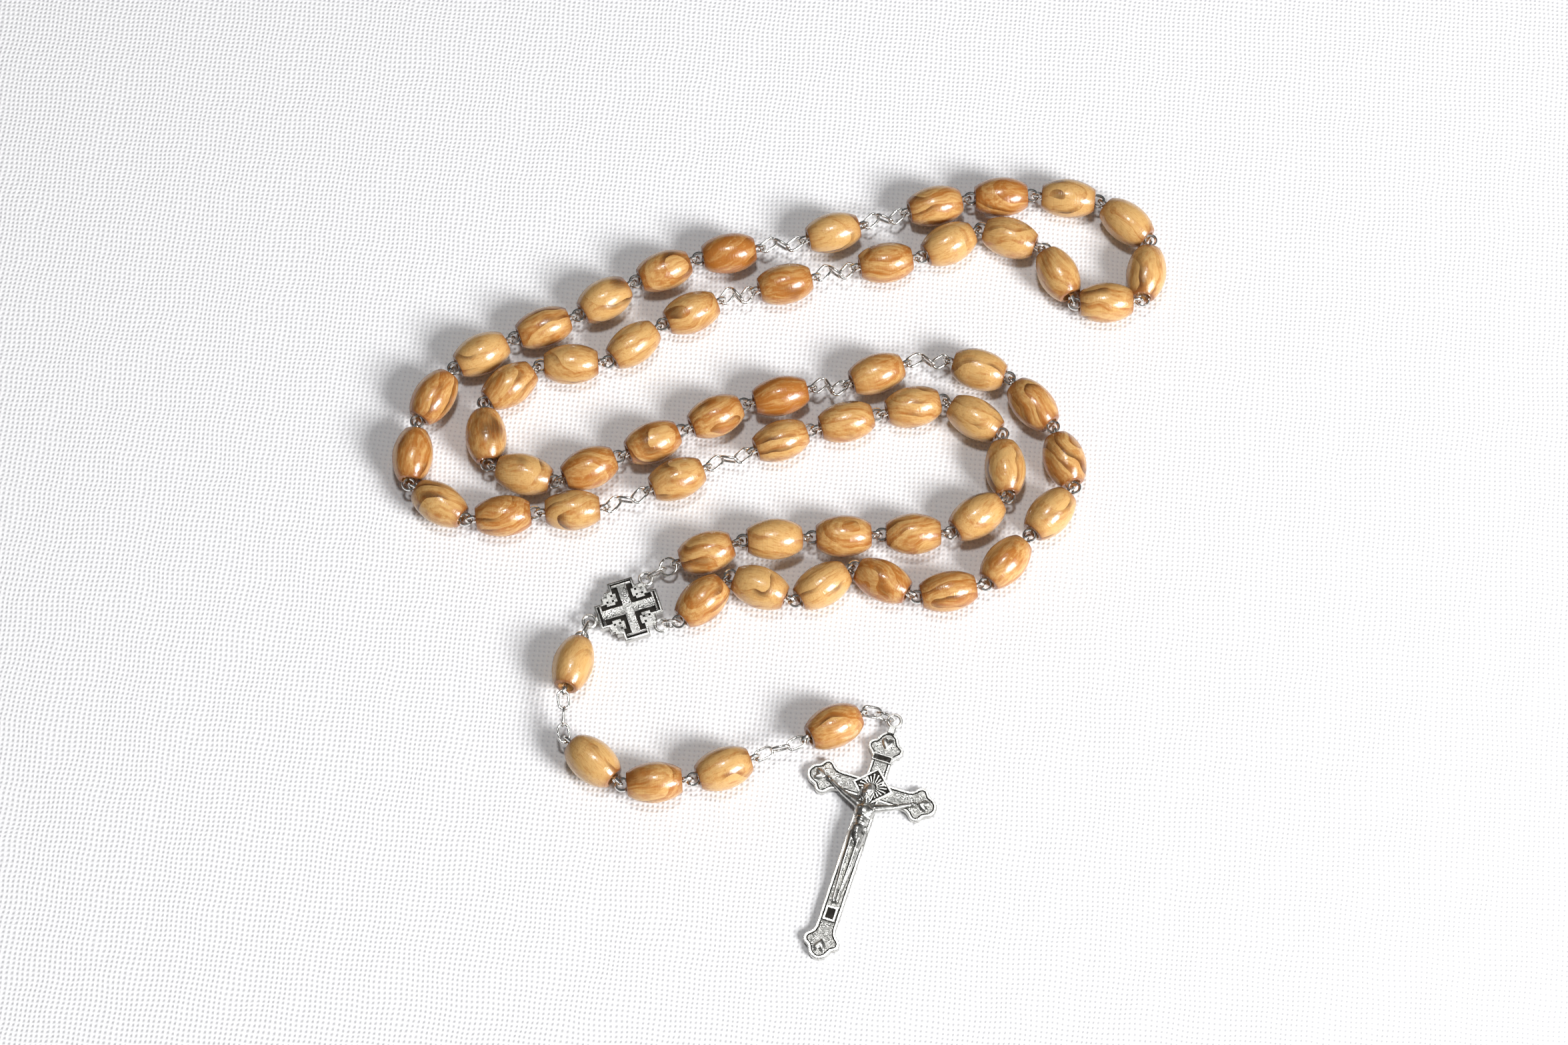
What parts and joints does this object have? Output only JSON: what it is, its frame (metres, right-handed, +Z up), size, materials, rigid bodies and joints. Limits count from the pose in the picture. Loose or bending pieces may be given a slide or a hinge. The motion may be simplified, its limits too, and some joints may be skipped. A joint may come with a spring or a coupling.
{
  "type": "rosary",
  "caption": "Five-decade rosary of oval olive-wood beads on silver wire eye pins, with a cross-shaped centre medal, short chains and a lobed crucifix, laid in loose loops.",
  "frame": {"origin": "on the table the rosary lies on, under the middle of its bounding box", "axes": "+Z up from the table; +X to the right and +Y away from the viewer in the usual view, with the pendant and crucifix towards -Y"},
  "size_m": [0.136, 0.1442, 0.0081],
  "materials": {
    "olive_wood": "glossy clear lacquer over strongly figured olive wood",
    "silver_wire": "bright silver-plated steel wire",
    "antique_silver": "cast zinc alloy with antiqued silver plate, dark in the recesses"
  },
  "bodies": {
    "centre_medal": {"centre_medal": "antique_silver"},
    "medal_link": {"medal_link": "silver_wire"},
    "medal_upper_jump_ring": {"medal_upper_jump_ring": "silver_wire"},
    "decade_1_beads_1_2": {"decade_1_beads_1_2": "olive_wood"},
    "decade_1_beads_3_4": {"decade_1_beads_3_4": "olive_wood"},
    "decade_1_beads_5_6": {"decade_1_beads_5_6": "olive_wood"},
    "decade_1_beads_7_8": {"decade_1_beads_7_8": "olive_wood"},
    "decade_1_beads_9_10": {"decade_1_beads_9_10": "olive_wood"},
    "chain_1": {"chain_1": "silver_wire"},
    "our_father_bead_1_pin": {"our_father_bead_1_pin": "silver_wire"},
    "our_father_bead_1": {"our_father_bead_1": "olive_wood"},
    "chain_2": {"chain_2": "silver_wire"},
    "decade_2_beads_1_2": {"decade_2_beads_1_2": "olive_wood"},
    "decade_2_beads_3_4": {"decade_2_beads_3_4": "olive_wood"},
    "decade_2_beads_5_6": {"decade_2_beads_5_6": "olive_wood"},
    "decade_2_beads_7_8": {"decade_2_beads_7_8": "olive_wood"},
    "decade_2_beads_9_10": {"decade_2_beads_9_10": "olive_wood"},
    "chain_3": {"chain_3": "silver_wire"},
    "our_father_bead_2_pin": {"our_father_bead_2_pin": "silver_wire"},
    "our_father_bead_2": {"our_father_bead_2": "olive_wood"},
    "chain_4": {"chain_4": "silver_wire"},
    "decade_3_beads_1_2": {"decade_3_beads_1_2": "olive_wood"},
    "medal_lower_jump_ring": {"medal_lower_jump_ring": "silver_wire"},
    "decade_5_beads_9_10": {"decade_5_beads_9_10": "olive_wood"},
    "decade_5_beads_7_8": {"decade_5_beads_7_8": "olive_wood"},
    "decade_5_beads_5_6": {"decade_5_beads_5_6": "olive_wood"},
    "decade_5_beads_3_4": {"decade_5_beads_3_4": "olive_wood"},
    "decade_5_beads_1_2": {"decade_5_beads_1_2": "olive_wood"},
    "chain_8": {"chain_8": "silver_wire"},
    "our_father_bead_4_pin": {"our_father_bead_4_pin": "silver_wire"},
    "our_father_bead_4": {"our_father_bead_4": "olive_wood"},
    "chain_7": {"chain_7": "silver_wire"},
    "decade_4_beads_9_10": {"decade_4_beads_9_10": "olive_wood"},
    "decade_4_beads_7_8": {"decade_4_beads_7_8": "olive_wood"},
    "decade_4_beads_5_6": {"decade_4_beads_5_6": "olive_wood"},
    "decade_4_beads_3_4": {"decade_4_beads_3_4": "olive_wood"},
    "decade_4_beads_1_2": {"decade_4_beads_1_2": "olive_wood"},
    "chain_6": {"chain_6": "silver_wire"},
    "our_father_bead_3_pin": {"our_father_bead_3_pin": "silver_wire"},
    "our_father_bead_3": {"our_father_bead_3": "olive_wood"},
    "chain_5": {"chain_5": "silver_wire"},
    "decade_3_beads_8_10": {"decade_3_beads_8_10": "olive_wood"},
    "decade_3_beads_5_7": {"decade_3_beads_5_7": "olive_wood"},
    "decade_3_beads_3_4": {"decade_3_beads_3_4": "olive_wood"},
    "pendant_link": {"pendant_link": "silver_wire"},
    "pendant_bead_1_pin": {"pendant_bead_1_pin": "silver_wire"},
    "pendant_bead_1": {"pendant_bead_1": "olive_wood"},
    "pendant_chain_1": {"pendant_chain_1": "silver_wire"},
    "pendant_bead_2_pin": {"pendant_bead_2_pin": "silver_wire"},
    "pendant_bead_2": {"pendant_bead_2": "olive_wood"},
    "pendant_bead_3_pin": {"pendant_bead_3_pin": "silver_wire"},
    "pendant_bead_3": {"pendant_bead_3": "olive_wood"},
    "pendant_bead_4_pin": {"pendant_bead_4_pin": "silver_wire"},
    "pendant_bead_4": {"pendant_bead_4": "olive_wood"},
    "pendant_chain_2": {"pendant_chain_2": "silver_wire"},
    "pendant_bead_5_pin": {"pendant_bead_5_pin": "silver_wire"},
    "pendant_bead_5": {"pendant_bead_5": "olive_wood"},
    "crucifix_link": {"crucifix_link": "silver_wire"},
    "crucifix_jump_ring": {"crucifix_jump_ring": "silver_wire"},
    "crucifix": {"crucifix": "antique_silver"}
  },
  "joints": [
    {"name": "medal_link_lift", "type": "hinge", "parent": "centre_medal", "child": "medal_link", "pos_m": [-0.02258, -0.00406, 0.00191], "axis": [-0.4634, 0.8862, 0], "range_deg": [-35, 35]},
    {"name": "medal_upper_jump_ring_lift", "type": "hinge", "parent": "medal_link", "child": "medal_upper_jump_ring", "pos_m": [-0.02099, -0.00322, 0.00219], "axis": [0.4563, -0.8898, 0], "range_deg": [-35, 35]},
    {"name": "decade_1_beads_1_2_lift", "type": "hinge", "parent": "medal_upper_jump_ring", "child": "decade_1_beads_1_2", "pos_m": [-0.01845, -0.00192, 0.00312], "axis": [0.4563, -0.8898, 0], "range_deg": [-35, 35]},
    {"name": "decade_1_beads_3_4_lift", "type": "hinge", "parent": "decade_1_beads_1_2", "child": "decade_1_beads_3_4", "pos_m": [0.004, 0.00238, 0.00385], "axis": [-0.0428, 0.9991, 0], "range_deg": [-35, 35]},
    {"name": "decade_1_beads_5_6_lift", "type": "hinge", "parent": "decade_1_beads_3_4", "child": "decade_1_beads_5_6", "pos_m": [0.02814, 0.00273, 0.00381], "axis": [-0.556, 0.8312, 0], "range_deg": [-35, 35]},
    {"name": "decade_1_beads_7_8_lift", "type": "hinge", "parent": "decade_1_beads_5_6", "child": "decade_1_beads_7_8", "pos_m": [0.03896, 0.0214, 0.00381], "axis": [0.5408, 0.8411, 0], "range_deg": [-35, 35]},
    {"name": "decade_1_beads_9_10_lift", "type": "hinge", "parent": "decade_1_beads_7_8", "child": "decade_1_beads_9_10", "pos_m": [0.01729, 0.0259, 0.00381], "axis": [-0.2506, 0.9681, 0], "range_deg": [-35, 35]},
    {"name": "chain_1_lift", "type": "hinge", "parent": "decade_1_beads_9_10", "child": "chain_1", "pos_m": [-0.00575, 0.01897, 0.00376], "axis": [0.6952, -0.7188, 0], "range_deg": [-35, 35]},
    {"name": "our_father_bead_1_pin_lift", "type": "hinge", "parent": "chain_1", "child": "our_father_bead_1_pin", "pos_m": [-0.01304, 0.01523, 0.00385], "axis": [0.6952, -0.7188, 0], "range_deg": [-35, 35]},
    {"name": "our_father_bead_1_spin", "type": "hinge", "parent": "our_father_bead_1_pin", "child": "our_father_bead_1", "pos_m": [-0.01835, 0.01338, 0.00381], "axis": [-0.9234, -0.384, 0], "continuous": true},
    {"name": "chain_2_lift", "type": "hinge", "parent": "our_father_bead_1_pin", "child": "chain_2", "pos_m": [-0.02374, 0.01161, 0.00376], "axis": [-0.7817, 0.6237, 0], "range_deg": [-35, 35]},
    {"name": "decade_2_beads_1_2_lift", "type": "hinge", "parent": "chain_2", "child": "decade_2_beads_1_2", "pos_m": [-0.03044, 0.0073, 0.00386], "axis": [-0.7817, 0.6237, 0], "range_deg": [-35, 35]},
    {"name": "decade_2_beads_3_4_lift", "type": "hinge", "parent": "decade_2_beads_1_2", "child": "decade_2_beads_3_4", "pos_m": [-0.05392, 0.00522, 0.00381], "axis": [-0.5458, -0.8379, 0], "range_deg": [-35, 35]},
    {"name": "decade_2_beads_5_6_lift", "type": "hinge", "parent": "decade_2_beads_3_4", "child": "decade_2_beads_5_6", "pos_m": [-0.06427, 0.02345, 0.00381], "axis": [-0.8628, 0.5055, 0], "range_deg": [-35, 35]},
    {"name": "decade_2_beads_7_8_lift", "type": "hinge", "parent": "decade_2_beads_5_6", "child": "decade_2_beads_7_8", "pos_m": [-0.04812, 0.04012, 0.00381], "axis": [0.3658, -0.9307, 0], "range_deg": [-35, 35]},
    {"name": "decade_2_beads_9_10_lift", "type": "hinge", "parent": "decade_2_beads_7_8", "child": "decade_2_beads_9_10", "pos_m": [-0.02697, 0.05117, 0.00381], "axis": [0.3825, -0.9239, 0], "range_deg": [-35, 35]},
    {"name": "chain_3_lift", "type": "hinge", "parent": "decade_2_beads_9_10", "child": "chain_3", "pos_m": [-0.00397, 0.05776, 0.00375], "axis": [-0.6044, 0.7967, 0], "range_deg": [-35, 35]},
    {"name": "our_father_bead_2_pin_lift", "type": "hinge", "parent": "chain_3", "child": "our_father_bead_2_pin", "pos_m": [0.00343, 0.06001, 0.00386], "axis": [-0.6044, 0.7967, 0], "range_deg": [-35, 35]},
    {"name": "our_father_bead_2_spin", "type": "hinge", "parent": "our_father_bead_2_pin", "child": "our_father_bead_2", "pos_m": [0.00892, 0.06123, 0.00381], "axis": [0.9621, 0.2725, 0], "continuous": true},
    {"name": "chain_4_lift", "type": "hinge", "parent": "our_father_bead_2_pin", "child": "chain_4", "pos_m": [0.01451, 0.06234, 0.00375], "axis": [0.7207, -0.6933, 0], "range_deg": [-35, 35]},
    {"name": "decade_3_beads_1_2_lift", "type": "hinge", "parent": "chain_4", "child": "decade_3_beads_1_2", "pos_m": [0.02147, 0.06571, 0.00386], "axis": [0.7207, -0.6933, 0], "range_deg": [-35, 35]},
    {"name": "medal_lower_jump_ring_lift", "type": "hinge", "parent": "centre_medal", "child": "medal_lower_jump_ring", "pos_m": [-0.01967, -0.0131, 0.00191], "axis": [0.0247, -0.9997, 0], "range_deg": [-35, 35]},
    {"name": "decade_5_beads_9_10_lift", "type": "hinge", "parent": "medal_lower_jump_ring", "child": "decade_5_beads_9_10", "pos_m": [-0.01853, -0.01366, 0.0031], "axis": [-0.6742, 0.7385, 0], "range_deg": [-20, 20]},
    {"name": "decade_5_beads_7_8_lift", "type": "hinge", "parent": "decade_5_beads_9_10", "child": "decade_5_beads_7_8", "pos_m": [0.00129, -0.00995, 0.00379], "axis": [-0.5334, 0.8459, 0], "range_deg": [-35, 35]},
    {"name": "decade_5_beads_5_6_lift", "type": "hinge", "parent": "decade_5_beads_7_8", "child": "decade_5_beads_5_6", "pos_m": [0.02194, -0.00881, 0.00381], "axis": [0.1856, -0.9826, 0], "range_deg": [-35, 35]},
    {"name": "decade_5_beads_3_4_lift", "type": "hinge", "parent": "decade_5_beads_5_6", "child": "decade_5_beads_3_4", "pos_m": [0.04181, 0.00203, 0.00381], "axis": [0.7473, -0.6645, 0], "range_deg": [-35, 35]},
    {"name": "decade_5_beads_1_2_lift", "type": "hinge", "parent": "decade_5_beads_3_4", "child": "decade_5_beads_1_2", "pos_m": [0.04764, 0.02249, 0.00381], "axis": [-0.7861, -0.6181, 0], "range_deg": [-35, 35]},
    {"name": "chain_8_lift", "type": "hinge", "parent": "decade_5_beads_1_2", "child": "chain_8", "pos_m": [0.02897, 0.03677, 0.00375], "axis": [0.5589, -0.8292, 0], "range_deg": [-35, 35]},
    {"name": "our_father_bead_4_pin_lift", "type": "hinge", "parent": "chain_8", "child": "our_father_bead_4_pin", "pos_m": [0.02172, 0.03527, 0.00387], "axis": [-0.5589, 0.8292, 0], "range_deg": [-35, 35]},
    {"name": "our_father_bead_4_spin", "type": "hinge", "parent": "our_father_bead_4_pin", "child": "our_father_bead_4", "pos_m": [0.01642, 0.03351, 0.00381], "axis": [-0.9365, -0.3506, 0], "continuous": true},
    {"name": "chain_7_lift", "type": "hinge", "parent": "our_father_bead_4_pin", "child": "chain_7", "pos_m": [0.01104, 0.03186, 0.00373], "axis": [-0.6823, 0.731, 0], "range_deg": [-35, 35]},
    {"name": "decade_4_beads_9_10_lift", "type": "hinge", "parent": "chain_7", "child": "decade_4_beads_9_10", "pos_m": [0.00516, 0.03018, 0.00388], "axis": [0.6823, -0.731, 0], "range_deg": [-35, 35]},
    {"name": "decade_4_beads_7_8_lift", "type": "hinge", "parent": "decade_4_beads_9_10", "child": "decade_4_beads_7_8", "pos_m": [-0.01677, 0.02299, 0.00381], "axis": [0.4147, -0.91, 0], "range_deg": [-35, 35]},
    {"name": "decade_4_beads_5_6_lift", "type": "hinge", "parent": "decade_4_beads_7_8", "child": "decade_4_beads_5_6", "pos_m": [-0.03865, 0.01265, 0.00381], "axis": [0.2537, 0.9673, 0], "range_deg": [-35, 35]},
    {"name": "decade_4_beads_3_4_lift", "type": "hinge", "parent": "decade_4_beads_5_6", "child": "decade_4_beads_3_4", "pos_m": [-0.053, 0.02733, 0.00381], "axis": [0.5995, -0.8004, 0], "range_deg": [-35, 35]},
    {"name": "decade_4_beads_1_2_lift", "type": "hinge", "parent": "decade_4_beads_3_4", "child": "decade_4_beads_1_2", "pos_m": [-0.03141, 0.03522, 0.00381], "axis": [-0.6123, 0.7906, 0], "range_deg": [-35, 35]},
    {"name": "chain_6_lift", "type": "hinge", "parent": "decade_4_beads_1_2", "child": "chain_6", "pos_m": [-0.01078, 0.0473, 0.00373], "axis": [-0.8244, 0.566, 0], "range_deg": [-35, 35]},
    {"name": "our_father_bead_3_pin_lift", "type": "hinge", "parent": "chain_6", "child": "our_father_bead_3_pin", "pos_m": [-0.00541, 0.05021, 0.00388], "axis": [0.8244, -0.566, 0], "range_deg": [-35, 35]},
    {"name": "our_father_bead_3_spin", "type": "hinge", "parent": "our_father_bead_3_pin", "child": "our_father_bead_3", "pos_m": [0.00035, 0.05103, 0.00381], "axis": [0.9703, 0.2418, 0], "continuous": true},
    {"name": "chain_5_lift", "type": "hinge", "parent": "our_father_bead_3_pin", "child": "chain_5", "pos_m": [0.00601, 0.05192, 0.00374], "axis": [0.7453, -0.6667, 0], "range_deg": [-35, 35]},
    {"name": "decade_3_beads_8_10_lift", "type": "hinge", "parent": "chain_5", "child": "decade_3_beads_8_10", "pos_m": [0.01246, 0.05484, 0.00387], "axis": [-0.7453, 0.6667, 0], "range_deg": [-35, 35]},
    {"name": "decade_3_beads_5_7_lift", "type": "hinge", "parent": "decade_3_beads_8_10", "child": "decade_3_beads_5_7", "pos_m": [0.04606, 0.05883, 0.00381], "axis": [0.9082, 0.4185, 0], "range_deg": [-35, 35]},
    {"name": "decade_3_beads_3_4_lift", "type": "hinge", "parent": "decade_3_beads_5_7", "child": "decade_3_beads_3_4", "pos_m": [0.06604, 0.05894, 0.00381], "axis": [0.6673, 0.7448, 0], "range_deg": [-35, 35]},
    {"name": "pendant_link_lift", "type": "hinge", "parent": "centre_medal", "child": "pendant_link", "pos_m": [-0.03351, -0.01343, 0.00191], "axis": [0.9301, -0.3674, 0], "range_deg": [-35, 35]},
    {"name": "pendant_bead_1_pin_lift", "type": "hinge", "parent": "pendant_link", "child": "pendant_bead_1_pin", "pos_m": [-0.03414, -0.01471, 0.00255], "axis": [-0.9705, 0.2412, 0], "range_deg": [-35, 35]},
    {"name": "pendant_bead_1_spin", "type": "hinge", "parent": "pendant_bead_1_pin", "child": "pendant_bead_1", "pos_m": [-0.03567, -0.02087, 0.0037], "axis": [-0.2374, -0.955, 0.1778], "continuous": true},
    {"name": "pendant_chain_1_lift", "type": "hinge", "parent": "pendant_bead_1_pin", "child": "pendant_chain_1", "pos_m": [-0.03732, -0.02614, 0.00496], "axis": [-0.9912, -0.1324, 0], "range_deg": [-35, 35]},
    {"name": "pendant_bead_2_pin_lift", "type": "hinge", "parent": "pendant_chain_1", "child": "pendant_bead_2_pin", "pos_m": [-0.03677, -0.03509, 0.00371], "axis": [0.9912, 0.1324, 0], "range_deg": [-35, 35]},
    {"name": "pendant_bead_2_spin", "type": "hinge", "parent": "pendant_bead_2_pin", "child": "pendant_bead_2", "pos_m": [-0.032, -0.03841, 0.00382], "axis": [0.7585, -0.6517, -0.0017], "continuous": true},
    {"name": "pendant_bead_3_pin_lift", "type": "hinge", "parent": "pendant_bead_2_pin", "child": "pendant_bead_3_pin", "pos_m": [-0.028, -0.04268, 0.00381], "axis": [-0.0764, 0.9971, 0], "range_deg": [-35, 35]},
    {"name": "pendant_bead_3_spin", "type": "hinge", "parent": "pendant_bead_3_pin", "child": "pendant_bead_3", "pos_m": [-0.02157, -0.04219, 0.00381], "axis": [0.9971, 0.0764, 0], "continuous": true},
    {"name": "pendant_bead_4_pin_lift", "type": "hinge", "parent": "pendant_bead_3_pin", "child": "pendant_bead_4_pin", "pos_m": [-0.01598, -0.04201, 0.00381], "axis": [0.3528, -0.9357, 0], "range_deg": [-35, 35]},
    {"name": "pendant_bead_4_spin", "type": "hinge", "parent": "pendant_bead_4_pin", "child": "pendant_bead_4", "pos_m": [-0.00995, -0.03973, 0.00381], "axis": [0.9357, 0.3528, 0.0009], "continuous": true},
    {"name": "pendant_chain_2_lift", "type": "hinge", "parent": "pendant_bead_4_pin", "child": "pendant_chain_2", "pos_m": [-0.00473, -0.03783, 0.00374], "axis": [0.4128, -0.9108, 0], "range_deg": [-35, 35]},
    {"name": "pendant_bead_5_pin_lift", "type": "hinge", "parent": "pendant_chain_2", "child": "pendant_bead_5_pin", "pos_m": [0.00373, -0.03471, 0.00447], "axis": [-0.4128, 0.9108, 0], "range_deg": [-35, 35]},
    {"name": "pendant_bead_5_spin", "type": "hinge", "parent": "pendant_bead_5_pin", "child": "pendant_bead_5", "pos_m": [0.00864, -0.03216, 0.00379], "axis": [0.8873, 0.4517, -0.0936], "continuous": true},
    {"name": "crucifix_link_lift", "type": "hinge", "parent": "pendant_bead_5_pin", "child": "crucifix_link", "pos_m": [0.01349, -0.02916, 0.00341], "axis": [0.1043, 0.9945, 0], "range_deg": [-35, 35]},
    {"name": "crucifix_jump_ring_lift", "type": "hinge", "parent": "crucifix_link", "child": "crucifix_jump_ring", "pos_m": [0.01667, -0.02949, 0.00258], "axis": [-0.1043, -0.9945, 0], "range_deg": [-35, 35]},
    {"name": "crucifix_swing", "type": "hinge", "parent": "crucifix_jump_ring", "child": "crucifix", "pos_m": [0.01876, -0.03034, 0.00141], "axis": [0, 0, 1], "range_deg": [-3, 40]}
  ]
}
